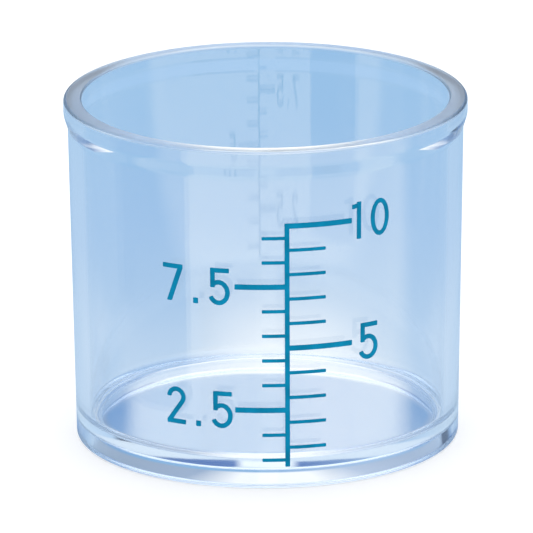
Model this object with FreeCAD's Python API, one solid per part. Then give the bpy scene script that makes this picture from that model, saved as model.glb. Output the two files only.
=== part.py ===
import FreeCAD, Part
import os
from math import cos, degrees, pi, radians, sin, tan

# A small clear measuring cup with a printed 10 ml scale.
#
# Millimetres. +Z is up and the origin is the centre of the foot. The spine of
# the scale faces -Y, with +X on the reader's right. The cup is one moulding,
# and every other piece is a film of ink printed on the outside of its wall.
# A place on the wall is given as (along, up): along is the distance round the
# wall from the middle of the spine, and up is the height above the foot.

# --- the moulded cup ---------------------------------------------------------
BASE_RADIUS = 13.95      # outside of the wall, drawn down to the foot
DRAFT = 1.0              # degrees that the wall leans outwards
HEADROOM = 5.6           # rim above the top mark
WALL = 1.05              # thickness of the wall, measured level
FLOOR = 0.70             # thickness of the floor
FLOOR_RADIUS = 0.7       # fillet where the floor meets the inside of the wall
CORNER_RADIUS = 0.35     # outside corner where the wall meets the foot
FOOT_WIDTH = 1.2         # flat ring that the cup stands on
RECESS = 1.25            # how far the underside is set up inside that ring
RECESS_LEAN = 0.15       # how much narrower the recess is at its top, so that it leaves the mould
RECESS_ROUND = 0.20      # rounding of the recess's two edges
RIM_STEP = 0.27          # how far the rim band stands out from the wall
RIM_BAND = 1.15          # height of the straight part of the band
RIM_BLEND = 0.95         # height of the slope from the band back to the wall
BLEND_RADIUS = 1.2       # rounding at both ends of that slope
RIM_OUTER_ROUND = 0.25   # rounding of the rim's outer edge
RIM_INNER_ROUND = 0.15   # rounding of the rim's inner edge

# --- the printed scale -------------------------------------------------------
TOP_ML = 10              # volume at the top mark
PRINT_DROP = 0.69        # how far the print sits below the true fill heights
INK = 0.04               # thickness of the film
SPINE_WIDTH = 0.355
SPINE_TAIL = 0.51        # how far the spine runs on below the lowest mark
LONG_LINE = 0.40         # thickness of the numbered marks
SHORT_LINE = 0.255       # thickness of the plain marks
LONG_RIGHT = 4.83        # reach of the 10 and 5 ml marks from the spine's middle
LONG_LEFT = 3.77         # reach of the 7.5 and 2.5 ml marks
SHORT_RIGHT = 2.82       # reach of the plain whole-millilitre marks
SHORT_LEFT = 1.82        # reach of the plain half-millilitre marks

# --- the numerals ------------------------------------------------------------
DIGIT_HEIGHT = 2.78
DIGIT_WIDTH = 1.58
DIGIT_DROP = 0.05        # how far a numeral's middle lies below its mark's
DIGIT_GAP = 0.79         # space between two characters
STROKE = 0.35
POINT_WIDTH = 0.38
POINT_HEIGHT = 0.42
LEFT_OF_10 = 4.85        # left edge of each numeral, from the spine's middle
LEFT_OF_5 = 5.38
LEFT_OF_7_5 = -9.23
LEFT_OF_2_5 = -8.97

FLOOR_TOP = RECESS + FLOOR
SLOPE = tan(radians(DRAFT))
UP = FreeCAD.Vector(0, 0, 1)
CENTRE = FreeCAD.Vector(0, 0, 0)


def wall_radius(height):
    """Outside radius of the tapered wall at a height."""
    return BASE_RADIUS + SLOPE * height


def mark_height(volume):
    """Height of the mark for a volume in millilitres: the fill height, less the print's drop.

    The liquid is a cone's frustum on the floor, so the cube of its top radius grows with volume.
    """
    floor_radius = wall_radius(FLOOR_TOP) - WALL
    fill_radius = (floor_radius ** 3 + 3000 * volume * SLOPE / pi) ** (1 / 3)
    mean_square = (floor_radius ** 2 + floor_radius * fill_radius + fill_radius ** 2) / 3
    return FLOOR_TOP + 1000 * volume / (pi * mean_square) - PRINT_DROP


HEIGHT = mark_height(TOP_ML) + HEADROOM


def rounded_face(corners):
    """A flat face in the XZ plane from (x, z, radius) corners, each corner cut by a tangent arc."""
    points = [FreeCAD.Vector(x, 0, z) for x, z, _ in corners]
    edges = []
    ends = []
    for i, (_, _, radius) in enumerate(corners):
        here = points[i]
        back = (points[i - 1] - here).normalize()
        ahead = (points[(i + 1) % len(points)] - here).normalize()
        if radius == 0:
            ends.append((here, here))
            continue
        half = back.getAngle(ahead) / 2
        reach = radius / tan(half)
        middle = (back + ahead).normalize() * (radius / sin(half) - radius)
        start, stop = here + back * reach, here + ahead * reach
        edges.append(Part.Arc(start, here + middle, stop).toShape())
        ends.append((start, stop))
    for i, (start, _) in enumerate(ends):
        edges.append(Part.LineSegment(ends[i - 1][1], start).toShape())
    return Part.Face(Part.Wire(Part.__sortEdges__(edges)))


def cup_body():
    """The whole moulding, as one profile turned about the Z axis."""
    rim_radius = wall_radius(HEIGHT) + RIM_STEP
    band_foot = HEIGHT - RIM_BAND
    blend_foot = band_foot - RIM_BLEND
    foot_inside = BASE_RADIUS - CORNER_RADIUS - FOOT_WIDTH
    profile = rounded_face([
        (0, RECESS, 0),
        (foot_inside - RECESS_LEAN, RECESS, RECESS_ROUND),
        (foot_inside, 0, RECESS_ROUND),
        (BASE_RADIUS, 0, CORNER_RADIUS),
        (wall_radius(blend_foot), blend_foot, BLEND_RADIUS),
        (rim_radius, band_foot, BLEND_RADIUS),
        (rim_radius, HEIGHT, RIM_OUTER_ROUND),
        (wall_radius(HEIGHT) - WALL, HEIGHT, RIM_INNER_ROUND),
        (wall_radius(FLOOR_TOP) - WALL, FLOOR_TOP, FLOOR_RADIUS),
        (0, FLOOR_TOP, 0),
    ])
    return profile.revolve(CENTRE, UP, 360)


# --- ink ---------------------------------------------------------------------

def film(angle_from, angle_to, foot, top):
    """A patch of ink on the wall, between two angles about Z and two heights."""
    corners = [
        FreeCAD.Vector(0, -wall_radius(foot), foot),
        FreeCAD.Vector(0, -wall_radius(foot) - INK, foot),
        FreeCAD.Vector(0, -wall_radius(top) - INK, top),
        FreeCAD.Vector(0, -wall_radius(top), top),
    ]
    section = Part.Face(Part.makePolygon(corners + corners[:1]))
    section.rotate(CENTRE, UP, degrees(angle_from))
    return section.revolve(CENTRE, UP, degrees(angle_to - angle_from))


def spine_edge():
    """Angle from the spine's middle to its edge."""
    return SPINE_WIDTH / 2 / BASE_RADIUS


def mark(volume, reach, line):
    """A mark that runs from the spine's edge round the wall. A negative reach runs to the left."""
    height = mark_height(volume)
    outer = reach / wall_radius(height)
    inner = spine_edge() if reach > 0 else -spine_edge()
    return film(min(inner, outer), max(inner, outer), height - line / 2, height + line / 2)


def scale_spine():
    foot = mark_height(0.5) - SPINE_TAIL
    return film(-spine_edge(), spine_edge(), foot, mark_height(TOP_ML) + LONG_LINE / 2)


def whole_ml_marks():
    return [mark(volume, SHORT_RIGHT, SHORT_LINE) for volume in range(1, TOP_ML) if volume != 5]


def half_ml_marks():
    volumes = [whole + 0.5 for whole in range(TOP_ML)]
    return [mark(volume, -SHORT_LEFT, SHORT_LINE) for volume in volumes if volume not in (2.5, 7.5)]


# --- characters ---------------------------------------------------------------
# Each is a list of flat faces in the XZ plane, with the lower left corner at 0.

def polygon(*points):
    loop = [FreeCAD.Vector(x, 0, z) for x, z in points]
    return Part.Face(Part.makePolygon(loop + loop[:1]))


def bar(left, low, right, high):
    return polygon((left, low), (right, low), (right, high), (left, high))


def oval(x, z, half_width, half_height_):
    """A filled oval. The kernel wants the longer axis first."""
    ends = [FreeCAD.Vector(x + half_width, 0, z), FreeCAD.Vector(x, 0, z + half_height_)]
    if half_height_ > half_width:
        ends.reverse()
    curve = Part.Ellipse(ends[0], ends[1], FreeCAD.Vector(x, 0, z))
    return Part.Face(Part.Wire(curve.toShape()))


def oval_ring(x, z, half_width, half_height_):
    """A stroke bent round an oval, whose outer edge has the given half sizes."""
    hole = oval(x, z, half_width - STROKE, half_height_ - STROKE)
    return oval(x, z, half_width, half_height_).cut(hole)


def digit_0():
    return [oval_ring(DIGIT_WIDTH / 2, DIGIT_HEIGHT / 2, DIGIT_WIDTH / 2, DIGIT_HEIGHT / 2)]


def one_width():
    """Width of the 1: its flag and its stem, about a stroke each."""
    return 2.1 * STROKE


def digit_1():
    """A stem with a flag that leaves level and rises to the stem's top."""
    right = one_width()
    left = right - STROKE
    flag_top = DIGIT_HEIGHT - 0.45 * STROKE
    flag = polygon(
        (0, flag_top - STROKE), (left + STROKE / 2, flag_top - 0.8 * STROKE),
        (left + STROKE / 2, DIGIT_HEIGHT), (left, DIGIT_HEIGHT),
        (left / 2, flag_top), (0, flag_top))
    return [flag, bar(left, 0, right, DIGIT_HEIGHT)]


def digit_2():
    """A round head that runs out along its tangent to a level base."""
    width = 0.94 * DIGIT_WIDTH
    head = width / 2
    middle = (head, DIGIT_HEIGHT - head)
    turn = radians(-35)
    line_radius = head - STROKE / 2
    ring = oval_ring(middle[0], middle[1], head, head)
    below = polygon(
        middle, (middle[0] - 2 * head, middle[1]), (middle[0] - 2 * head, -head),
        (middle[0] + 2 * head * cos(turn), middle[1] + 2 * head * sin(turn)))
    start = (middle[0] + line_radius * cos(turn), middle[1] + line_radius * sin(turn))
    run = (start[1] - STROKE / 2) / cos(turn)
    across = (STROKE / 2 * cos(turn), STROKE / 2 * sin(turn))
    foot = (start[0] + run * sin(turn), start[1] - run * cos(turn))
    slope = polygon(
        (start[0] - across[0], start[1] - across[1]), (foot[0] - across[0], foot[1] - across[1]),
        (foot[0] + across[0], foot[1] + across[1]), (start[0] + across[0], start[1] + across[1]))
    base = bar(foot[0] - across[0], 0, width, STROKE)
    return ring.cut(below).Faces + [slope, base]


def digit_5():
    """A top bar, a stem, and an open bowl whose tail reaches left of the stem."""
    stem = 0.09 * DIGIT_WIDTH
    bowl_half_width = 0.52 * DIGIT_WIDTH
    bowl_half_height = 0.34 * DIGIT_HEIGHT
    middle = (DIGIT_WIDTH - bowl_half_width, bowl_half_height)
    stem_foot = middle[1] + 0.4 * bowl_half_height
    bowl = oval_ring(middle[0], middle[1], bowl_half_width, bowl_half_height)
    mouth = polygon(
        middle, (stem + STROKE, stem_foot), (stem, stem_foot), (stem, DIGIT_HEIGHT),
        (-DIGIT_WIDTH, DIGIT_HEIGHT), (middle[0] - 2 * DIGIT_WIDTH, middle[1] - DIGIT_WIDTH))
    top = bar(stem, DIGIT_HEIGHT - STROKE, 0.97 * DIGIT_WIDTH, DIGIT_HEIGHT)
    upright = bar(stem, stem_foot, stem + STROKE, DIGIT_HEIGHT)
    return bowl.cut(mouth).Faces + [top, upright]


def digit_7():
    """A top bar and a straight slope down to the left."""
    slope = 1.15 * STROKE
    foot = 0.18 * DIGIT_WIDTH
    under_bar = DIGIT_HEIGHT - STROKE
    return [polygon(
        (0, under_bar), (DIGIT_WIDTH - slope, under_bar), (foot, 0), (foot + slope, 0),
        (DIGIT_WIDTH, under_bar), (DIGIT_WIDTH, DIGIT_HEIGHT), (0, DIGIT_HEIGHT))]


def point():
    return [bar(0, 0, POINT_WIDTH, POINT_HEIGHT)]


CHARACTERS = {
    "0": (digit_0, DIGIT_WIDTH),
    "1": (digit_1, one_width()),
    "2": (digit_2, 0.94 * DIGIT_WIDTH),
    "5": (digit_5, DIGIT_WIDTH),
    "7": (digit_7, DIGIT_WIDTH),
    ".": (point, POINT_WIDTH),
}


def printed(faces, width, left, foot):
    """A flat character laid on the wall: pushed through a patch of film, and what they share kept."""
    middle = (left + width / 2) / wall_radius(foot + DIGIT_HEIGHT / 2)
    half = width / wall_radius(foot)
    start = FreeCAD.Vector(-width / 2, -wall_radius(HEIGHT) - WALL, foot)
    through = FreeCAD.Vector(0, wall_radius(HEIGHT) / 2, 0)
    cell = film(middle - half, middle + half, foot - STROKE, foot + DIGIT_HEIGHT + STROKE)
    strokes = []
    for face in faces:
        block = face.translated(start).extrude(through)
        block.rotate(CENTRE, UP, degrees(middle))
        strokes.append(cell.common(block))
    joined = strokes[0].multiFuse(strokes[1:]) if len(strokes) > 1 else strokes[0]
    return joined.removeSplitter().Solids


def numeral(text, left):
    """The characters of one number, side by side, with their middle just below its mark's."""
    foot = mark_height(float(text)) - DIGIT_DROP - DIGIT_HEIGHT / 2
    pieces = []
    for character in text:
        draw, width = CHARACTERS[character]
        pieces += printed(draw(), width, left, foot)
        left += width + DIGIT_GAP
    return pieces


def export(name, shape):
    """Write one node, from a solid or from a list of separate solids."""
    solids = shape if isinstance(shape, list) else [shape]
    node = solids[0] if len(solids) == 1 else Part.makeCompound(solids)
    node.exportStep("parts/" + name + ".step")
    print(f"{name}: {len(solids)} solid(s), {node.Volume:.4f} mm3, valid {node.isValid()}")


os.makedirs("parts", exist_ok=True)
export("cup_body", cup_body())
export("scale_spine", scale_spine())
export("mark_10_ml", mark(TOP_ML, LONG_RIGHT, LONG_LINE))
export("mark_7_5_ml", mark(7.5, -LONG_LEFT, LONG_LINE))
export("mark_5_ml", mark(5, LONG_RIGHT, LONG_LINE))
export("mark_2_5_ml", mark(2.5, -LONG_LEFT, LONG_LINE))
export("whole_ml_marks", whole_ml_marks())
export("half_ml_marks", half_ml_marks())
export("numeral_10", numeral("10", LEFT_OF_10))
export("numeral_7_5", numeral("7.5", LEFT_OF_7_5))
export("numeral_5", numeral("5", LEFT_OF_5))
export("numeral_2_5", numeral("2.5", LEFT_OF_2_5))
print(f"height {HEIGHT:.3f} mm, rim radius {wall_radius(HEIGHT) + RIM_STEP:.3f} mm")
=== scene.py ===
# %% [markdown]
# # A clear measuring cup with a printed scale
#
# This lesson rebuilds a small clear plastic cup. Its real parts are one moulding and a film of ink.
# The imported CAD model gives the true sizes, so it is loaded first and never moved. Each new piece
# takes the place of one CAD node.

# %% Load the fixed frame
import math

import bmesh
import bpy
import numpy as np
from mathutils import Matrix, Vector


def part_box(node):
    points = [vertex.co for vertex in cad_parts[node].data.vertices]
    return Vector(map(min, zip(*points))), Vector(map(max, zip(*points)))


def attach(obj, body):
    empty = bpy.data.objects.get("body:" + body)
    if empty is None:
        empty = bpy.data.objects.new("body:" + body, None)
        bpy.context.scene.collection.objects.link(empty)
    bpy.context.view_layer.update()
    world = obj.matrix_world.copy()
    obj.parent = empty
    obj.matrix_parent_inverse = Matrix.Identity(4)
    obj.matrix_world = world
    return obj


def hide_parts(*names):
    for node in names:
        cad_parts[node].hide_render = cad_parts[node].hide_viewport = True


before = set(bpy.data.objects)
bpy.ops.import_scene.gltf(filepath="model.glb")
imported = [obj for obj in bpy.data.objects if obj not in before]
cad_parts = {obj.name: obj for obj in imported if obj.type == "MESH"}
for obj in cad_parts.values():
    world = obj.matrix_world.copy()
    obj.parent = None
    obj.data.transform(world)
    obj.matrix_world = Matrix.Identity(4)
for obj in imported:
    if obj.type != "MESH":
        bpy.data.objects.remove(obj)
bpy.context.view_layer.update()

MM = 0.001

# %% [markdown]
# ## Where the wall is
#
# The cup is a body of revolution whose wall leans out by one degree, so the mould can let go of it.
# Everything printed on the cup has to lie on that cone. The height comes from the CAD box, and the few
# sizes that a box can't give are written once here, in millimetres, as the mould maker would have them.

# %% The cup's sizes
low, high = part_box("cup_body")
HEIGHT = (high[2] - low[2]) / MM
RIM_RADIUS = (high[0] - low[0]) / 2 / MM

DRAFT = math.radians(1.0)
BASE_RADIUS = 13.95
WALL = 1.05
FLOOR = 0.70
FLOOR_RADIUS = 0.7
CORNER_RADIUS = 0.35
FOOT_WIDTH = 1.2
RECESS = 1.25
RECESS_LEAN = 0.15
RECESS_ROUND = 0.20
RIM_BAND = 1.15
RIM_BLEND = 0.95
BLEND_RADIUS = 1.2
RIM_OUTER_ROUND = 0.25
RIM_INNER_ROUND = 0.15
FLOOR_TOP = RECESS + FLOOR


def wall_radius(height):
    """Outside radius at a height: the base radius plus the height times the tangent of the draft."""
    return BASE_RADIUS + math.tan(DRAFT) * height


print(f"height {HEIGHT:.2f} mm, rim radius {RIM_RADIUS:.2f} mm, wall at rim {wall_radius(HEIGHT):.2f} mm")

# %% [markdown]
# ## A corner made round
#
# A moulded edge is never sharp. One way to round it is a Bevel modifier, but clear plastic bends light
# by its surface direction, so a bevel's small errors would show as ripples. Here each corner of the
# profile is replaced by the arc that touches both of its sides, and the exact surface direction is kept
# beside every point.

# %% Corner helper
ARC_STEP = math.radians(7.5)


def unit(vector):
    """The same direction, one long."""
    return vector / np.hypot(*vector)


def corner_arc(before, here, after, rounding):
    """Points and outward directions of the arc that rounds a corner.

    Its centre is on the bisector of the corner's angle, at rounding / sin(half angle), and it touches
    each side at rounding / tan(half angle) from the corner.
    """
    back = unit(before - here)
    ahead = unit(after - here)
    half = math.acos(np.clip(back @ ahead, -1, 1)) / 2
    centre = here + unit(back + ahead) * rounding / math.sin(half)
    first = here + back * rounding / math.tan(half) - centre
    turn = math.pi - 2 * half
    count = max(3, math.ceil(turn / ARC_STEP) + 1)
    sense = np.sign(ahead[0] * back[1] - ahead[1] * back[0])
    angles = np.linspace(0, turn, count) * sense
    arc = np.stack([first[0] * np.cos(angles) - first[1] * np.sin(angles),
                    first[0] * np.sin(angles) + first[1] * np.cos(angles)], axis=1)
    return centre + arc, sense * arc / rounding


sample, _ = corner_arc(np.array([0.0, 1.0]), np.array([0.0, 0.0]), np.array([1.0, 0.0]), 0.5)
print("a right-angled corner becomes", len(sample), "points")

# %% [markdown]
# ## A profile with rounded corners
#
# A profile is a list of corners, each with its distance from the axis, its height and its rounding. The
# arcs are joined in order, and the straight runs between them are cut into short steps, so that the
# faces are even. The first and last points are on the axis, and take the direction of their own side.

# %% Profile helper
RUN_STEP = 0.6


def rounded_profile(corners):
    """Points and outward directions along a line of (radius from axis, height, rounding) corners."""
    spots = np.array([corner[:2] for corner in corners], dtype=float)

    def end(spot, side):
        return spot[None], unit(np.array([side[1], -side[0]]))[None]

    arcs = [end(spots[0], spots[1] - spots[0])]
    for before, here, after, corner in zip(spots, spots[1:], spots[2:], corners[1:]):
        arcs.append(corner_arc(before, here, after, corner[2]))
    arcs.append(end(spots[-1], spots[-1] - spots[-2]))

    points, directions = [arcs[0][0]], [arcs[0][1]]
    for (before, _), (after, direction) in zip(arcs, arcs[1:]):
        gap = after[0] - before[-1]
        steps = max(1, math.ceil(np.hypot(*gap) / RUN_STEP))
        share = np.arange(1, steps)[:, None] / steps
        points += [before[-1] + share * gap, after]
        directions += [np.repeat(direction[:1], steps - 1, axis=0), direction]
    return np.concatenate(points), np.concatenate(directions)


print("longest straight step", RUN_STEP, "mm")

# %% [markdown]
# ## From arrays to an object
#
# Every piece ends as a mesh whose points are already in place, so its object stays at the origin. The
# arrays are in millimetres and are scaled to metres here, once.

# %% Mesh helper
def mesh_object(name, points, faces, directions=None):
    """A mesh object at the origin from points in millimetres, with its own surface directions."""
    mesh = bpy.data.meshes.new(name)
    mesh.from_pydata((points * MM).tolist(), [], faces)
    mesh.polygons.foreach_set("use_smooth", np.ones(len(mesh.polygons), dtype=bool))
    if directions is not None:
        mesh.normals_split_custom_set_from_vertices(directions.tolist())
    mesh.validate()
    piece = bpy.data.objects.new(name, mesh)
    bpy.context.collection.objects.link(piece)
    return piece


print("one unit of an array is", MM, "m")

# %% [markdown]
# ## Turning the profile
#
# A lathe shape is the surface p(s, angle) = (r(s) sin angle, -r(s) cos angle, z(s)). The two ends of
# this profile lie on the axis, so each becomes one single point instead of a ring of doubles. Clear
# plastic shows every facet in what it bends, so there are many more steps round than a solid colour
# would need.

# %% Lathe helper
SEGMENTS = 256


def lathe(name, profile, directions):
    """A closed body turned about Z, from a profile that starts and ends on the axis."""
    angle = np.linspace(0, 2 * np.pi, SEGMENTS, endpoint=False)
    around = np.stack([np.sin(angle), -np.cos(angle)], axis=1)

    def turned(values):
        across = values[:, None, :1] * around[None]
        up = np.broadcast_to(values[:, None, 1:], across.shape[:2] + (1,))
        return np.concatenate([across, up], axis=2).reshape(-1, 3)

    ends = np.array([[0, 0, profile[0, 1]], [0, 0, profile[-1, 1]]])
    end_directions = np.array([[0, 0, directions[0, 1]], [0, 0, directions[-1, 1]]])
    points = np.concatenate([turned(profile[1:-1]), ends])
    normals = np.concatenate([turned(directions[1:-1]), end_directions])

    rings = len(profile) - 2
    here = np.arange(rings * SEGMENTS).reshape(rings, SEGMENTS)
    beside = np.roll(here, -1, axis=1)
    quads = np.stack([here[:-1], beside[:-1], beside[1:], here[1:]], axis=2).reshape(-1, 4)
    first, last = len(points) - 2, len(points) - 1
    start = np.stack([np.full(SEGMENTS, first), beside[0], here[0]], axis=1)
    stop = np.stack([np.full(SEGMENTS, last), here[-1], beside[-1]], axis=1)
    return mesh_object(name, points, quads.tolist() + start.tolist() + stop.tolist(), normals)


print("steps round the axis", SEGMENTS)

# %% [markdown]
# ## The moulding
#
# The profile runs from the middle of the underside, over the foot ring, up the outside of the wall,
# round the rim band, down the inside and across the floor. It is one piece, because the real cup is
# one shot of plastic.

# %% Build the cup
band_foot = HEIGHT - RIM_BAND
blend_foot = band_foot - RIM_BLEND
foot_inside = BASE_RADIUS - CORNER_RADIUS - FOOT_WIDTH
cup_profile, cup_directions = rounded_profile([
    (0, RECESS, 0),
    (foot_inside - RECESS_LEAN, RECESS, RECESS_ROUND),
    (foot_inside, 0, RECESS_ROUND),
    (BASE_RADIUS, 0, CORNER_RADIUS),
    (wall_radius(blend_foot), blend_foot, BLEND_RADIUS),
    (RIM_RADIUS, band_foot, BLEND_RADIUS),
    (RIM_RADIUS, HEIGHT, RIM_OUTER_ROUND),
    (wall_radius(HEIGHT) - WALL, HEIGHT, RIM_INNER_ROUND),
    (wall_radius(FLOOR_TOP) - WALL, FLOOR_TOP, FLOOR_RADIUS),
    (0, FLOOR_TOP, 0),
])
cup = lathe("clear_cup", cup_profile, cup_directions)
print("cup rings", len(cup_profile), "faces", len(cup.data.polygons))

# %% [markdown]
# ## A line of ink
#
# The scale is screen printed: a film about as thick as a hair. A line is drawn flat, as distances along
# the wall and up it, and then wrapped round the cone. Its points are evenly spaced, with a few more
# close to each end, where the film's corners turn.

# %% Line helpers
SOFT_CORNER = 0.05
LINE_STEP = 0.12
END_SHARES = np.array([0.0, 0.15, 0.5, 1.0])
LONGEST_END = 0.3


def line_between(start, stop):
    """Points on a straight line: even steps, and closer ones over the soft corner at each end."""
    length = math.dist(start, stop)
    count = max(2, math.ceil(length / LINE_STEP))
    near = min(SOFT_CORNER / length, LONGEST_END) * END_SHARES
    even = np.linspace(near[-1], 1 - near[-1], count + 1)[1:-1]
    share = np.concatenate([near, even, 1 - near[::-1]])
    return np.array(start) + share[:, None] * (np.array(stop) - np.array(start))


def wrapped(along, up, proud, at_height):
    """The point on the wall at a distance along it, at a height, standing proud of it.

    The distance is turned into an angle by the radius at one height, so upright lines stay upright.
    """
    angle = along / wall_radius(at_height)
    radius = wall_radius(up) + proud
    return np.stack([radius * np.sin(angle), -radius * np.cos(angle), up], axis=-1)


print("points on a 3 mm line", len(line_between((0, 0), (3, 0))))

# %% [markdown]
# ## A band of film
#
# Every line and every stroke of a numeral is a band between a left edge and a right edge. Text objects
# would bring a font's shapes and thousands of thin faces, so the strokes are worked out here instead.
# The band's section has rounded shoulders, and its back is sunk a little way into the plastic, so that
# no air is left between the two.

# %% Band helper
INK = 0.04
SUNK = 0.012
SECTION = np.array([
    (-1.0, 0.0), (-1.0, 0.55), (-0.94, 0.9), (-0.82, 1.0), (0.82, 1.0), (0.94, 0.9), (1.0, 0.55),
    (1.0, 0.0), (1.0, -1.0), (-1.0, -1.0)])


def softened(middle, half):
    """Half widths that shrink along a quarter circle near the free ends, so the corners are soft."""
    steps = np.hypot(*np.diff(middle, axis=0).T)
    run = np.concatenate([[0], np.cumsum(steps)])
    free = np.minimum(np.minimum(run, run[-1] - run), SOFT_CORNER)
    lost = SOFT_CORNER - np.sqrt(SOFT_CORNER ** 2 - (SOFT_CORNER - free) ** 2)
    return half * (1 - lost / np.hypot(*half.T))[:, None]


def band(left, right, at_height, closed=False, lift=0.0):
    """Points and faces of one band between two edges: its section carried along its middle line."""
    middle = (left + right) / 2
    half = (right - left) / 2
    if not closed:
        half = softened(middle, half)
    flat = middle[:, None, :] + SECTION[None, :, :1] * half[:, None, :]
    raised = np.where(SECTION[:, 1] > 0, SECTION[:, 1] * (INK + lift), SECTION[:, 1] * SUNK)
    proud = np.broadcast_to(raised, flat.shape[:2])
    points = wrapped(flat[..., 0], flat[..., 1], proud, at_height)

    rows, columns = points.shape[:2]
    grid = np.arange(rows * columns).reshape(rows, columns)
    ahead = np.roll(grid, -1, axis=0) if closed else grid[1:]
    here = grid if closed else grid[:-1]
    quads = np.stack([here, ahead, np.roll(ahead, -1, 1), np.roll(here, -1, 1)], axis=2).reshape(-1, 4)
    caps = [] if closed else [grid[0].tolist(), grid[-1][::-1].tolist()]
    return points.reshape(-1, 3), quads.tolist() + caps


print("film", INK, "mm thick, points in its section", len(SECTION))

# %% [markdown]
# ## Several bands as one print
#
# A numeral or a set of short marks is one piece made of several closed bands. A band drawn from right
# to left comes out inside out, so the faces are all turned outwards once the bands are together.

# %% Print helper
def printed(name, bands):
    """One object from several bands, with every face turned outwards."""
    points, faces, start = [], [], 0
    for band_points, band_faces in bands:
        points.append(band_points)
        faces += [[start + i for i in face] for face in band_faces]
        start += len(band_points)
    piece = mesh_object(name, np.concatenate(points), faces)
    work = bmesh.new()
    work.from_mesh(piece.data)
    bmesh.ops.recalc_face_normals(work, faces=work.faces)
    work.to_mesh(piece.data)
    work.free()
    return piece


print("ink is sunk", SUNK, "mm into the wall")

# %% [markdown]
# ## Where a mark belongs
#
# A mark belongs at the height where the cup holds its volume. The liquid is a slice of a cone, so its
# volume grows with the cube of its radius, and the cube root turns that round. The whole print sits a
# little lower than that on the wall.

# %% Mark heights
TOP_ML = 10
PRINT_DROP = 0.69
CUBIC_MM = 1000


def mark_height(volume):
    """Height of the mark for a volume in millilitres, from the volume of a cone's frustum."""
    floor_radius = wall_radius(FLOOR_TOP) - WALL
    grown = 3 * CUBIC_MM * volume * math.tan(DRAFT) / math.pi
    fill_radius = (floor_radius ** 3 + grown) ** (1 / 3)
    mean_square = (floor_radius ** 2 + floor_radius * fill_radius + fill_radius ** 2) / 3
    return FLOOR_TOP + CUBIC_MM * volume / (math.pi * mean_square) - PRINT_DROP


print("marks from", round(mark_height(0.5), 2), "to", round(mark_height(TOP_ML), 2), "mm up")

# %% [markdown]
# ## The ladder of marks
#
# Long marks carry a numeral, and the short ones stand at every millilitre on the right and half
# millilitre on the left. Each starts inside the upright spine, which is a few thousandths of a
# millimetre thicker, so that no two faces share a plane.

# %% Marks
SPINE_WIDTH = 0.355
SPINE_TAIL = 0.51
LONG_LINE = 0.40
SHORT_LINE = 0.255
LONG_RIGHT = 4.83
LONG_LEFT = 3.77
SHORT_RIGHT = 2.82
SHORT_LEFT = 1.82
ROOT = 0.3
LIFT = 0.004


def mark(volume, reach, thickness):
    """A level band from inside the spine to its reach, which is negative on the left."""
    height = mark_height(volume)
    root = math.copysign(ROOT * SPINE_WIDTH, reach)
    lower = line_between((min(root, reach), height - thickness / 2),
                         (max(root, reach), height - thickness / 2))
    return band(lower + (0, thickness), lower, height)


def spine():
    """The upright band, from below the lowest mark to the top edge of the highest."""
    top = mark_height(TOP_ML) + LONG_LINE / 2
    left = line_between((-SPINE_WIDTH / 2, mark_height(0.5) - SPINE_TAIL), (-SPINE_WIDTH / 2, top))
    return band(left, left + (SPINE_WIDTH, 0), top / 2, lift=LIFT)


whole_volumes = [volume for volume in range(1, TOP_ML) if volume != 5]
half_volumes = [whole + 0.5 for whole in range(TOP_ML) if whole not in (2, 7)]
pieces = {
    "cup_body": cup,
    "scale_spine": printed("ink_spine", [spine()]),
    "mark_10_ml": printed("ink_mark_10_ml", [mark(TOP_ML, LONG_RIGHT, LONG_LINE)]),
    "mark_7_5_ml": printed("ink_mark_7_5_ml", [mark(7.5, -LONG_LEFT, LONG_LINE)]),
    "mark_5_ml": printed("ink_mark_5_ml", [mark(5, LONG_RIGHT, LONG_LINE)]),
    "mark_2_5_ml": printed("ink_mark_2_5_ml", [mark(2.5, -LONG_LEFT, LONG_LINE)]),
    "whole_ml_marks": printed("ink_whole_ml_marks", [
        mark(volume, SHORT_RIGHT, SHORT_LINE) for volume in whole_volumes]),
    "half_ml_marks": printed("ink_half_ml_marks", [
        mark(volume, -SHORT_LEFT, SHORT_LINE) for volume in half_volumes]),
}
print("short marks", len(whole_volumes), "on the right and", len(half_volumes), "on the left")

# %% [markdown]
# ## Strokes
#
# The figures are drawn in a plain engineering style: one stroke width, straight stems and round bowls.
# A stroke is a pair of edges in the character's own cell, whose lower left corner is at zero. A bent
# stroke follows an oval: x = a cos(angle), y = b sin(angle), and its inner edge follows a smaller one.

# %% Stroke helpers
DIGIT_HEIGHT = 2.78
DIGIT_WIDTH = 1.58
STROKE = 0.35
OVAL_POINTS = 56


def oval_arc(middle, half_width, half_height, start, stop):
    """Points on an oval between two angles in degrees, counted from the right, anticlockwise."""
    angle = np.radians(np.linspace(start, stop, OVAL_POINTS))
    return np.stack([middle[0] + half_width * np.cos(angle), middle[1] + half_height * np.sin(angle)], 1)


def bent_stroke(middle, half_width, half_height, start, stop):
    """The two edges of a stroke bent round an oval, outer edge first."""
    return (oval_arc(middle, half_width, half_height, start, stop),
            oval_arc(middle, half_width - STROKE, half_height - STROKE, start, stop))


def straight_stroke(start_one, stop_one, start_other, stop_other):
    """The two straight edges of a stroke, each from its start to its stop."""
    return line_between(start_one, stop_one), line_between(start_other, stop_other)


def level_stroke(left, right, low_edge):
    """A level stroke that stands on its low edge."""
    return straight_stroke((left, low_edge + STROKE), (right, low_edge + STROKE),
                           (left, low_edge), (right, low_edge))


def upright_stroke(left, low_end, high_end):
    """An upright stroke that starts at its left edge."""
    return straight_stroke((left, low_end), (left, high_end),
                           (left + STROKE, low_end), (left + STROKE, high_end))


print("figures", DIGIT_HEIGHT, "mm tall, stroke", STROKE, "mm")

# %% [markdown]
# ## Figures made of straight strokes
#
# The 1 has a short level flag, the 7 has a bar and a straight leg, and the point is a small block. The
# real figures are just as plain, because fine shapes fill in when they are screen printed this small.

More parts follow.
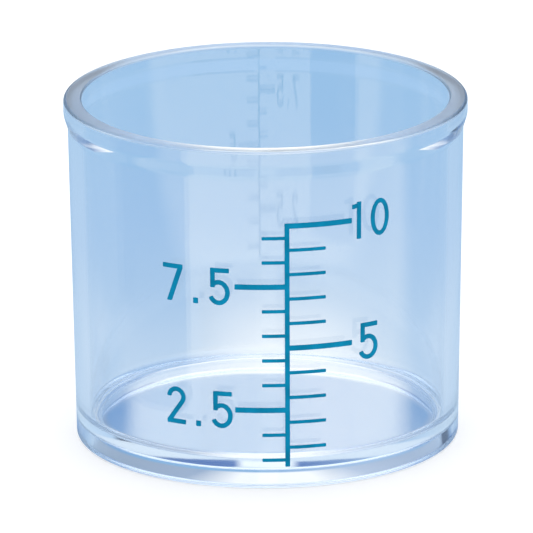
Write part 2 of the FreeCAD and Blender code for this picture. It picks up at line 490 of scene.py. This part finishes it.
# %% 1, 7 and the point
POINT_WIDTH = 0.38
POINT_HEIGHT = 0.42
ONE_STEM = 1.1 * STROKE
ONE_WIDTH = 2.1 * STROKE
FLAG_DROP = 0.45 * STROKE
FLAG_THIN = 0.8 * STROKE
FLAG_START = 0.03
FLAG_TIP = 0.04
SEVEN_SLOPE = 1.15 * STROKE
SEVEN_FOOT = 0.18 * DIGIT_WIDTH
OVERLAP = 0.05


def digit_1():
    """A stem, and a flag that thins a little where it meets the stem."""
    top = DIGIT_HEIGHT - FLAG_DROP
    places = [0, FLAG_START, ONE_STEM / 2, ONE_STEM + STROKE / 2]
    upper = np.stack([places, [top, top, top, DIGIT_HEIGHT - FLAG_TIP]], axis=1)
    lower = np.stack([places, [top - STROKE, top - STROKE, top - STROKE, top - FLAG_THIN]], axis=1)
    return [(upper, lower), upright_stroke(ONE_STEM, 0, DIGIT_HEIGHT)]


def digit_7():
    """A bar, and a leg that leans from its right end."""
    under_bar = DIGIT_HEIGHT - STROKE
    leg = straight_stroke((SEVEN_FOOT, 0), (DIGIT_WIDTH - SEVEN_SLOPE, under_bar + OVERLAP),
                          (SEVEN_FOOT + SEVEN_SLOPE, 0), (DIGIT_WIDTH, under_bar + OVERLAP))
    return [level_stroke(0, DIGIT_WIDTH, under_bar), leg]


def point():
    """A small block on the line."""
    return [straight_stroke((0, 0), (0, POINT_HEIGHT), (POINT_WIDTH, 0), (POINT_WIDTH, POINT_HEIGHT))]


print("strokes in 1, 7 and point", len(digit_1()), len(digit_7()), len(point()))

# %% [markdown]
# ## Figures with a bowl
#
# The 0 is one closed oval. The 2 goes round its head and runs straight down to a level foot, without a
# corner where the two meet: the slope starts on the head's own direction. The 5 has an open bowl that
# starts inside its stem.

# %% 0, 2 and 5
TWO_WIDTH = 0.94 * DIGIT_WIDTH
TWO_TURN = -35
FIVE_STEM = 0.09 * DIGIT_WIDTH
FIVE_TOP = 0.97 * DIGIT_WIDTH
FIVE_INSET = 0.02
FIVE_HALF_WIDTH = 0.52 * DIGIT_WIDTH
FIVE_HALF_HEIGHT = 0.34 * DIGIT_HEIGHT
FIVE_STEM_FOOT = 1.4 * FIVE_HALF_HEIGHT
FIVE_BOWL = (132, -156)


def digit_0():
    """A closed oval, whose last point would repeat its first and so is left out."""
    middle = (DIGIT_WIDTH / 2, DIGIT_HEIGHT / 2)
    outer, inner = bent_stroke(middle, *middle, 0, 360)
    return [(outer[:-1], inner[:-1])]


def digit_2():
    """Head and slope as one stroke, and a level foot."""
    head = TWO_WIDTH / 2
    middle = np.array([head, DIGIT_HEIGHT - head])
    turn = math.radians(TWO_TURN)
    outward = np.array([math.cos(turn), math.sin(turn)])
    downward = np.array([math.sin(turn), -math.cos(turn)])
    start = middle + (head - STROKE / 2) * outward
    foot = start + (start[1] - STROKE / 2) / math.cos(turn) * downward
    across = STROKE / 2 * outward
    outer, inner = bent_stroke(middle, head, head, 180, TWO_TURN)
    slope = line_between(start, foot)[1:]
    neck = np.concatenate([outer, slope + across]), np.concatenate([inner, slope - across])
    return [neck, level_stroke(foot[0] - across[0], TWO_WIDTH, 0)]


def digit_5():
    """A top bar, a stem and an open bowl."""
    middle = (DIGIT_WIDTH - FIVE_HALF_WIDTH, FIVE_HALF_HEIGHT)
    return [level_stroke(FIVE_STEM + FIVE_INSET, FIVE_TOP, DIGIT_HEIGHT - STROKE),
            upright_stroke(FIVE_STEM, FIVE_STEM_FOOT, DIGIT_HEIGHT),
            bent_stroke(middle, FIVE_HALF_WIDTH, FIVE_HALF_HEIGHT, *FIVE_BOWL)]


print("strokes in 0, 2 and 5", len(digit_0()), len(digit_2()), len(digit_5()))

# %% [markdown]
# ## The numbers
#
# A number is its characters side by side, each with its own width, beside the end of its mark. Where
# two strokes of a character cross, the later one is lifted a little, so that no two faces share a plane.

# %% Numbers
DIGIT_DROP = 0.05
DIGIT_GAP = 0.79
CHARACTERS = {
    "0": (digit_0, DIGIT_WIDTH),
    "1": (digit_1, ONE_WIDTH),
    "2": (digit_2, TWO_WIDTH),
    "5": (digit_5, DIGIT_WIDTH),
    "7": (digit_7, DIGIT_WIDTH),
    ".": (point, POINT_WIDTH),
}
NUMBERS = {"10": 4.85, "7.5": -9.23, "5": 5.38, "2.5": -8.97}


def numeral(name, text, left):
    """The bands of one number, side by side, with their middle just below the mark's."""
    foot = mark_height(float(text)) - DIGIT_DROP - DIGIT_HEIGHT / 2
    bands = []
    for character in text:
        draw, width = CHARACTERS[character]
        for order, (one, other) in enumerate(draw()):
            bands.append(band(one + (left, foot), other + (left, foot), foot + DIGIT_HEIGHT / 2,
                              closed=character == "0", lift=order * LIFT))
        left += width + DIGIT_GAP
    return printed(name, bands)


for text, left in NUMBERS.items():
    label = "numeral_" + text.replace(".", "_")
    pieces[label] = numeral("ink_" + label, text, left)
print("ink faces", sum(len(piece.data.polygons) for piece in pieces.values()) - len(cup.data.polygons))

# %% [markdown]
# ## Shader maths as plain expressions
#
# A material is a graph of nodes. The class below wraps one socket, so that a + b, a * b and 1 - a
# write the Math nodes for us. The few sums that have no sign of their own get a name.

# %% Socket maths
class Value:
    """A number that varies over a surface, held as a socket of a node tree."""

    def __init__(self, tree, socket):
        self.tree = tree
        self.socket = socket

    def _with(self, other, operation, swapped=False):
        node = self.tree.nodes.new("ShaderNodeMath")
        node.operation = operation
        for place, item in zip((1, 0) if swapped else (0, 1), (self, other)):
            if isinstance(item, Value):
                self.tree.links.new(item.socket, node.inputs[place])
            else:
                node.inputs[place].default_value = item
        return Value(self.tree, node.outputs[0])

    def __add__(self, other):
        return self._with(other, "ADD")

    def __radd__(self, other):
        return self._with(other, "ADD", swapped=True)

    def __sub__(self, other):
        return self._with(other, "SUBTRACT")

    def __rsub__(self, other):
        return self._with(other, "SUBTRACT", swapped=True)

    def __mul__(self, other):
        return self._with(other, "MULTIPLY")

    def __rmul__(self, other):
        return self._with(other, "MULTIPLY", swapped=True)

    def __truediv__(self, other):
        return self._with(other, "DIVIDE")

    def __rtruediv__(self, other):
        return self._with(other, "DIVIDE", swapped=True)

    def __abs__(self):
        return self._with(0.0, "ABSOLUTE")

    def larger(self, other):
        """The larger of two values."""
        return self._with(other, "MAXIMUM")

    def above(self, limit):
        """1 where the value is above the limit, 0 elsewhere."""
        return self._with(limit, "GREATER_THAN")


print("operators + - * / and abs write Math nodes")

# %% [markdown]
# ## Any other node
#
# One method adds a node, sets its settings first, because they decide which sockets it has, and then
# sets or links its sockets.

# %% Node helper
class Graph:
    """A node tree that is filled one node at a time."""

    def __init__(self, tree):
        self.tree = tree
        self.tree.nodes.clear()

    def add(self, kind, settings=None, inputs=None, output=0):
        """Add a node and return one of its outputs. The setting called stops fills a colour ramp."""
        node = self.tree.nodes.new("ShaderNode" + kind)
        for name, value in (settings or {}).items():
            if name == "stops":
                self._fill(node.color_ramp, value)
            else:
                setattr(node, name, value)
        for name, value in (inputs or {}).items():
            if isinstance(value, Value):
                self.tree.links.new(value.socket, node.inputs[name])
            else:
                node.inputs[name].default_value = value
        return Value(self.tree, node.outputs[output]) if node.outputs else None

    @staticmethod
    def _fill(ramp, stops):
        while len(ramp.elements) < len(stops):
            ramp.elements.new(0.5)
        for element, (position, colour) in zip(ramp.elements, stops):
            element.position = position
            element.color = (*colour, 1)


def new_material(name):
    """An empty material and the graph to fill it with."""
    material = bpy.data.materials.new(name)
    material.use_nodes = True
    return material, Graph(material.node_tree)


def height_of(graph, where):
    """How high a place is, in metres."""
    return graph.add("VectorMath", {"operation": "DOT_PRODUCT"}, {0: where, 1: (0, 0, 1)}, "Value")


print("materials so far", len(bpy.data.materials))

# %% [markdown]
# ## Clear polystyrene
#
# Clear polystyrene bends light a little more than glass does, and in the mass it is very slightly
# blue. What sells it is what the light does at its edges, so the shader stays simple: full
# transmission, a near-mirror polish, and a bump so shallow that it only makes reflections swim a bit,
# the way a moulded wall does. A few rubbed patches are slightly less polished, and the lip, where
# fingers and packing touch it, is frosted.

# %% Plastic material
LIP_START = HEIGHT - 0.3
LIP_END = HEIGHT - 0.05
POLISH = 0.01
RUBBED = 0.03
FROSTED = 0.35

plastic, graph = new_material("clear_polystyrene")
where = graph.add("TexCoord", output="Object")
flow = graph.add("TexNoise", inputs={"Vector": where, "Scale": 90.0, "Detail": 2.0, "Roughness": 0.4})
rub = graph.add("TexNoise", inputs={"Vector": where, "Scale": 420.0, "Detail": 6.0, "Roughness": 0.65})
lip = graph.add("MapRange", inputs={
    "Value": height_of(graph, where), "From Min": LIP_START * MM, "From Max": LIP_END * MM})
bump = graph.add("Bump", inputs={"Strength": 0.12, "Distance": 0.0004, "Height": flow})
surface = graph.add("BsdfPrincipled", inputs={
    "Base Color": (0.975, 0.985, 0.995, 1), "Roughness": POLISH + rub * RUBBED + lip * FROSTED,
    "IOR": 1.57, "Transmission Weight": 1.0, "Normal": bump})
depth = graph.add("VolumeAbsorption", inputs={"Color": (0.0, 0.45, 0.80, 1), "Density": 10.0})
graph.add("OutputMaterial", inputs={"Surface": surface, "Volume": depth})
print("plastic nodes", len(plastic.node_tree.nodes))

# %% [markdown]
# ## Ink
#
# Screen ink is opaque and a little duller than the plastic. Held close, it is not one colour: it is
# thinner where the mesh let less through, and the mesh leaves a faint grain.

# %% Ink material
DULL = 0.38
MOTTLED = 0.14

ink, graph = new_material("teal_screen_ink")
where = graph.add("TexCoord", output="Object")
mottle = graph.add("TexNoise", inputs={"Vector": where, "Scale": 900.0, "Detail": 3.0, "Roughness": 0.6})
grain = graph.add("TexNoise", inputs={"Vector": where, "Scale": 6000.0, "Detail": 1.0})
teal = graph.add("ValToRGB", {"stops": [
    (0.25, (0.0, 0.165, 0.30)), (0.5, (0.0, 0.21, 0.38)), (0.75, (0.001, 0.25, 0.45))]},
    {"Fac": mottle})
grained = graph.add("Bump", inputs={"Strength": 0.25, "Distance": 0.00001, "Height": grain})
surface = graph.add("BsdfPrincipled", inputs={
    "Base Color": teal, "Roughness": DULL + mottle * MOTTLED, "IOR": 1.5, "Specular IOR Level": 0.05,
    "Normal": grained})
graph.add("OutputMaterial", inputs={"Surface": surface})
print("ink nodes", len(ink.node_tree.nodes))

# %% [markdown]
# ## Taking the CAD nodes' places
#
# The cup is one rigid body, so every piece rides on the same one. Each piece says which CAD node it
# stands in for, and which of the two materials it shows.

# %% Places and slots
for node, piece in pieces.items():
    piece.data.materials.append(plastic if piece is cup else ink)
    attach(piece, "root")
    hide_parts(node)
print("pieces", len(pieces))

# %% [markdown]
# ## Directions on the set
#
# A clear object has no colour of its own to show: it shows what is around it. So the set is laid out by
# directions. The front is where the camera stands, and left and right are as seen from there. These
# directions are fixed in the room, and stay put when the camera moves.

# %% Directions
AZIMUTH = math.radians(-5.9)
ELEVATION = math.radians(17.03)
FRONT = (math.sin(AZIMUTH), -math.cos(AZIMUTH), 0)
RIGHT = (math.cos(AZIMUTH), math.sin(AZIMUTH), 0)


def around_the_cup(graph, where):
    """Distance from the axis, distance to the front and distance to the right, in millimetres."""
    flat = graph.add("VectorMath", {"operation": "MULTIPLY"}, {0: where, 1: (1 / MM, 1 / MM, 0)})
    away = graph.add("VectorMath", {"operation": "LENGTH"}, {0: flat}, "Value")
    forward = graph.add("VectorMath", {"operation": "DOT_PRODUCT"}, {0: flat, 1: FRONT}, "Value")
    across = graph.add("VectorMath", {"operation": "DOT_PRODUCT"}, {0: flat, 1: RIGHT}, "Value")
    return away, forward, across


print("front", [round(part, 3) for part in FRONT])

# %% [markdown]
# ## What the plastic shows and the eye doesn't
#
# The eye is to see a plain white table, but a white table gives a cup that can hardly be seen. So the
# set is coloured only for light that has met the plastic, which a Light Path node can tell. Some of it
# is for reflections alone, so that no card is seen standing behind the cup from another side.

# %% Light path helpers
def seen_in_plastic(graph):
    """1 for light that has been bent or mirrored last, 0 for what is seen directly or lit softly."""
    bent = graph.add("LightPath", output="Is Transmission Ray")
    mirrored = graph.add("LightPath", output="Is Glossy Ray")
    return bent.larger(mirrored)


def after_a_reflection(graph):
    """1 for light that has been reflected on its way to the eye, 0 for light seen straight through."""
    return graph.add("LightPath", output="Glossy Depth").above(0.5)


print("light is told apart by its path, not by where the camera stands")

# %% [markdown]
# ## Painting with ramps
#
# The set's colours change with distance or direction. A ramp is written with its stops in the units of
# the value it follows, and masks go from 0 to 1 on a smooth slope, 3 t^2 - 2 t^3.

# %% Ramp helpers
def ramp(graph, value, start, stop, stops):
    """A colour ramp over a range of a value, from (position in the range's units, colour) stops."""
    share = (value - start) * (1 / (stop - start))
    scaled = [((position - start) / (stop - start), colour) for position, colour in stops]
    return graph.add("ValToRGB", {"stops": scaled}, {"Fac": share})


def smooth(graph, value, start, stop):
    """0 before the start, 1 after the stop, and an easy slope between them."""
    return graph.add("MapRange", {"interpolation_type": "SMOOTHSTEP"}, {
        "Value": value, "From Min": start, "From Max": stop})


def mix(graph, factor, one, other):
    """The first colour where the factor is 0, the other where it is 1."""
    return graph.add("Mix", {"data_type": "RGBA"}, {0: factor, 6: one, 7: other}, 2)


print("colours are mixed by masks from 0 to 1")

# %% [markdown]
# ## The table
#
# The table is one large flat sheet, just under the foot so that no two faces share a plane. Each part
# of its paint below is a short function of the place on it.

# %% Table
FLOOR_HALF = 1.5
AIR_GAP = -0.00002
TABLE_CORNERS = [(-1, -1), (1, -1), (1, 1), (-1, 1)]


def stage_sheet(name, corners):
    """A single four-cornered face that belongs to the set, not to the object."""
    mesh = bpy.data.meshes.new(name)
    mesh.from_pydata(corners, [], [(0, 1, 2, 3)])
    sheet = bpy.data.objects.new(name, mesh)
    bpy.context.collection.objects.link(sheet)
    return sheet


floor = stage_sheet("studio_floor", [(x * FLOOR_HALF, y * FLOOR_HALF, AIR_GAP) for x, y in TABLE_CORNERS])
print("table", 2 * FLOOR_HALF, "m wide")

# %% [markdown]
# ## Paint on the table round the cup
#
# Behind the cup the table is pale blue, deeper further off, with a painted glow of light close behind the
# middle. In front lie painted reflections: patches brighter than white, like lamps lying on the table.
# Only reflections show those, and a trace of them at the sides.

# %% Paint round the cup
GLOW_MIDDLE = 2
GLOW_WIDTH = (2, 10)
GLOW_DEPTH = (18, 42)
GLOW = 0.8
PAINTED_REFLECTION_EDGE = (0, 16)
SIDE_EDGE = (14, 30)
SIDE_SHARE = 0.1
FAR = 90


def paint_round_the_cup(graph, away, forward, across):
    """Backdrop, painted glow and painted reflections, by distance from the axis and from the middle line.
    """
    backdrop = ramp(graph, away, 0, FAR, [
        (0, (0.52, 0.68, 0.87)), (20, (0.52, 0.68, 0.87)), (36, (0.45, 0.63, 0.85)),
        (55, (0.37, 0.57, 0.83)), (FAR, (0.34, 0.56, 0.82))])
    # painted glow of light on the table, close behind the middle, seen through the plastic
    narrow = 1.0 - smooth(graph, abs(across - GLOW_MIDDLE), *GLOW_WIDTH)
    close = 1.0 - smooth(graph, away, *GLOW_DEPTH)
    backdrop = mix(graph, narrow * close * GLOW, backdrop, (0.95, 1.0, 1.05, 1))
    # painted reflections: patches brighter than white in front of the cup, seen only after a reflection
    painted_reflections = ramp(graph, away, 0, FAR, [
        (0, (1.7, 1.6, 1.4)), (20, (1.8, 1.7, 1.5)), (40, (1.6, 1.5, 1.3)), (FAR, (1.4, 1.35, 1.2))])
    beside = smooth(graph, abs(across), *SIDE_EDGE) * SIDE_SHARE
    in_front = smooth(graph, forward, *PAINTED_REFLECTION_EDGE)
    return mix(graph, beside.larger(in_front) * after_a_reflection(graph), backdrop, painted_reflections)


print("cards start", PAINTED_REFLECTION_EDGE[0], "mm in front of the axis")

# %% [markdown]
# ## Paint under the cup
#
# A clear foot gathers light from all round into a bright ring. The paint under the cup is painted light
# and shade that helps that along: a blue disc under the floor, darker at its sides, with a painted
# highlight towards the front, inside a ring with painted highlights, white in the middle of its front
# and rear, and painted shade, dark blue, at its sides, where the cup shades the table. The disc is set a
# little back, because the floor stands above the table and is looked at from a slant.

# %% Paint under the cup
DISC_SHIFT = 4
DISC_EDGE = (12.0, 12.6)
RING_HALVES = (-3, 3)


def paint_under_the_cup(graph, away, forward, across):
    """Painted light and shade under the cup: disc and ring, by distance from the axis and by direction.
    """
    aside = across / away
    # disc colour: darker at its sides, lightest a little to the right of the middle
    disc = ramp(graph, across, -12, 12, [
        (-12, (0.06, 0.26, 0.60)), (-8, (0.14, 0.38, 0.70)), (0, (0.21, 0.44, 0.74)),
        (4, (0.32, 0.50, 0.77)), (9, (0.26, 0.46, 0.74)), (12, (0.12, 0.33, 0.64))])
    # painted highlight: white in the middle of the disc's front part, darker at the sides
    disc_front = ramp(graph, aside, -1, 1, [
        (-0.9, (0.22, 0.33, 0.50)), (-0.5, (0.26, 0.38, 0.58)), (-0.2, (0.95, 1.0, 1.05)),
        (0.3, (1.0, 1.05, 1.1)), (0.6, (0.42, 0.54, 0.74)), (0.9, (0.30, 0.42, 0.62))])
    shift = [DISC_SHIFT * MM * part for part in FRONT]
    shifted = graph.add("VectorMath", {"operation": "ADD"}, {
        0: graph.add("TexCoord", output="Object"), 1: shift})
    from_shifted, _, _ = around_the_cup(graph, shifted)
    under = mix(graph, smooth(graph, from_shifted, *DISC_EDGE), disc, disc_front)
    # painted highlights, white in the middle of the ring's front and rear, and painted shade, dark blue,
    # at its sides, where the cup shades the table
    ring_front = ramp(graph, aside, -1, 1, [
        (-0.9, (0.25, 0.36, 0.52)), (-0.5, (0.40, 0.50, 0.66)), (-0.2, (1.0, 1.05, 1.1)),
        (0.2, (1.0, 1.05, 1.1)), (0.5, (0.60, 0.70, 0.85)), (0.9, (0.30, 0.42, 0.62))])
    ring_rear = ramp(graph, aside, -1, 1, [
        (-0.9, (0.26, 0.42, 0.68)), (-0.4, (0.34, 0.50, 0.74)), (-0.1, (0.85, 0.92, 1.0)),
        (0.3, (1.0, 1.05, 1.1)), (0.6, (0.50, 0.62, 0.80)), (0.9, (0.38, 0.52, 0.74))])
    ring = mix(graph, smooth(graph, forward, *RING_HALVES), ring_rear, ring_front)
    return mix(graph, smooth(graph, away, *DISC_EDGE), under, ring)


print("disc reaches", DISC_EDGE[0], "mm from the axis")

# %% [markdown]
# ## Two tables in one
#
# The eye sees matt pale card, lifted a little by a light of its own so that it reads as white. Light
# that has met the plastic sees the paint instead, which shines by itself, so no shadow greys it.

# %% Table material
FOOT_EDGE = (13.8, 16.0)

floor_material, graph = new_material("studio_floor")
places = around_the_cup(graph, graph.add("TexCoord", output="Object"))
paint = mix(graph, smooth(graph, places[0], *FOOT_EDGE), paint_under_the_cup(graph, *places),
            paint_round_the_cup(graph, *places))
painted = graph.add("Emission", inputs={"Color": paint, "Strength": 1.0})
plain = graph.add("BsdfPrincipled", inputs={
    "Base Color": (0.78, 0.78, 0.78, 1), "Roughness": 0.7, "Emission Color": (1, 1, 1, 1),
    "Emission Strength": 0.4})
both = graph.add("MixShader", inputs={0: seen_in_plastic(graph), 1: plain, 2: painted})
graph.add("OutputMaterial", inputs={"Surface": both})
floor.data.materials.append(floor_material)
print("table nodes", len(floor_material.node_tree.nodes))

# %% [markdown]
# ## A painted reflection: the blue card
#
# One darker sheet stands at the front left. It is a painted reflection: it glows by itself and shows in
# reflections only. It breaks up the painted reflections of the table, and puts two tall darker streaks
# on the wall, which tell the eye that the wall is round and polished. It casts no shadow.

# %% Blue card
CARD_FOOT = [(-17.5, -19.7), (-25.6, -4.5)]
CARD_LOW = 1.0
CARD_TOP = 24.0
CARD_FADE = (3.0, 11.0)

near_end, far_end = CARD_FOOT
card = stage_sheet("reflection_only_card", [
    (x * MM, y * MM, z * MM) for (x, y), z in (
        (near_end, CARD_LOW), (far_end, CARD_LOW), (far_end, CARD_TOP), (near_end, CARD_TOP))])
card.visible_camera = False
card.visible_diffuse = False
card.visible_shadow = False

card_material, graph = new_material("reflection_only_card")
height = height_of(graph, graph.add("TexCoord", output="Object")) / MM
# painted reflection colour: pale near the foot, deeper blue higher up, seen only after a reflection
blues = mix(graph, smooth(graph, height, *CARD_FADE), (0.85, 0.92, 1.0, 1), (0.22, 0.42, 0.72, 1))
shining = graph.add("Emission", inputs={"Color": blues})
clear = graph.add("BsdfTransparent")
card_surface = graph.add("MixShader", inputs={0: after_a_reflection(graph), 1: clear, 2: shining})
graph.add("OutputMaterial", inputs={"Surface": card_surface})
card.data.materials.append(card_material)
print("card", round(math.dist(near_end, far_end), 1), "mm wide")

# %% [markdown]
# ## The soft light
#
# A white surround lights everything evenly, as a light tent does. Through the plastic, its lower part
# is blue instead, pale at the far sides, with a white gap in the middle, and its upper part is a cool
# white. That gives the base and the rim their edges.

# %% World
SKY_EDGE = (0.34, 0.5)

world = bpy.data.worlds.new("studio")
bpy.context.scene.world = world
world.use_nodes = True
graph = Graph(world.node_tree)
where = graph.add("TexCoord", output="Generated")
away, _, across = around_the_cup(graph, where)
low_sky = ramp(graph, across / away, -1, 1, [
    (-0.95, (0.75, 0.86, 0.96)), (-0.6, (0.42, 0.60, 0.82)), (-0.13, (0.05, 0.18, 0.50)),
    (-0.09, (1.2, 1.2, 1.2)), (0.09, (1.2, 1.2, 1.2)), (0.13, (0.05, 0.18, 0.50)),
    (0.5, (0.03, 0.14, 0.42)), (0.58, (0.01, 0.03, 0.08)), (0.68, (0.02, 0.05, 0.12)),
    (0.74, (0.55, 0.72, 0.92)), (0.95, (0.75, 0.88, 1.0))])
sky = mix(graph, smooth(graph, height_of(graph, where), *SKY_EDGE), low_sky, (1.1, 1.3, 1.6, 1))
colour = mix(graph, seen_in_plastic(graph), (1, 1, 1, 1), sky)
background = graph.add("Background", inputs={"Color": colour, "Strength": 1.0})
graph.add("OutputWorld", inputs={"Surface": background})
print("world nodes", len(world.node_tree.nodes))

# %% [markdown]
# ## The camera
#
# The cup is seen from a little above, by a long lens from far off, which keeps the wall's two sides
# nearly parallel. The lens, the distance and the slight roll belong together. The colours are shown
# as they are, without a film curve, because the set's whites are meant to stay white.

# %% Camera
DISTANCE = 0.6836
LENS = 633.5
SENSOR = 36.0
ROLL = math.radians(-0.363)
LOOK_LOWER = 0.24

target = Vector((0, 0, (HEIGHT / 2 - LOOK_LOWER) * MM))
towards = Vector((math.sin(AZIMUTH) * math.cos(ELEVATION), -math.cos(AZIMUTH) * math.cos(ELEVATION),
                  math.sin(ELEVATION)))
camera_data = bpy.data.cameras.new("camera")
camera_data.lens = LENS
camera_data.sensor_width = SENSOR
camera_data.clip_start = 0.01
camera = bpy.data.objects.new("camera", camera_data)
place = Matrix.Translation(target + towards * DISTANCE)
turn = towards.to_track_quat("Z", "Y").to_matrix().to_4x4()
camera.matrix_world = place @ turn @ Matrix.Rotation(ROLL, 4, "Z")
bpy.context.collection.objects.link(camera)
bpy.context.scene.camera = camera
bpy.context.scene.view_settings.view_transform = "Standard"
print("camera", round(DISTANCE / MM), "mm from the cup")

# %% [markdown]
# ## Long light paths
#
# Inside clear plastic, light is reflected again and again before it finds a way out. A renderer gives
# up after a few turns and calls the rest black, which would draw black bands at the base and on the
# rim, so the limits are raised.

# %% Light paths
MOST_TURNS = 40

paths = bpy.context.scene.cycles
paths.max_bounces = MOST_TURNS
paths.glossy_bounces = MOST_TURNS
paths.transmission_bounces = MOST_TURNS
print("turns of light followed", MOST_TURNS)
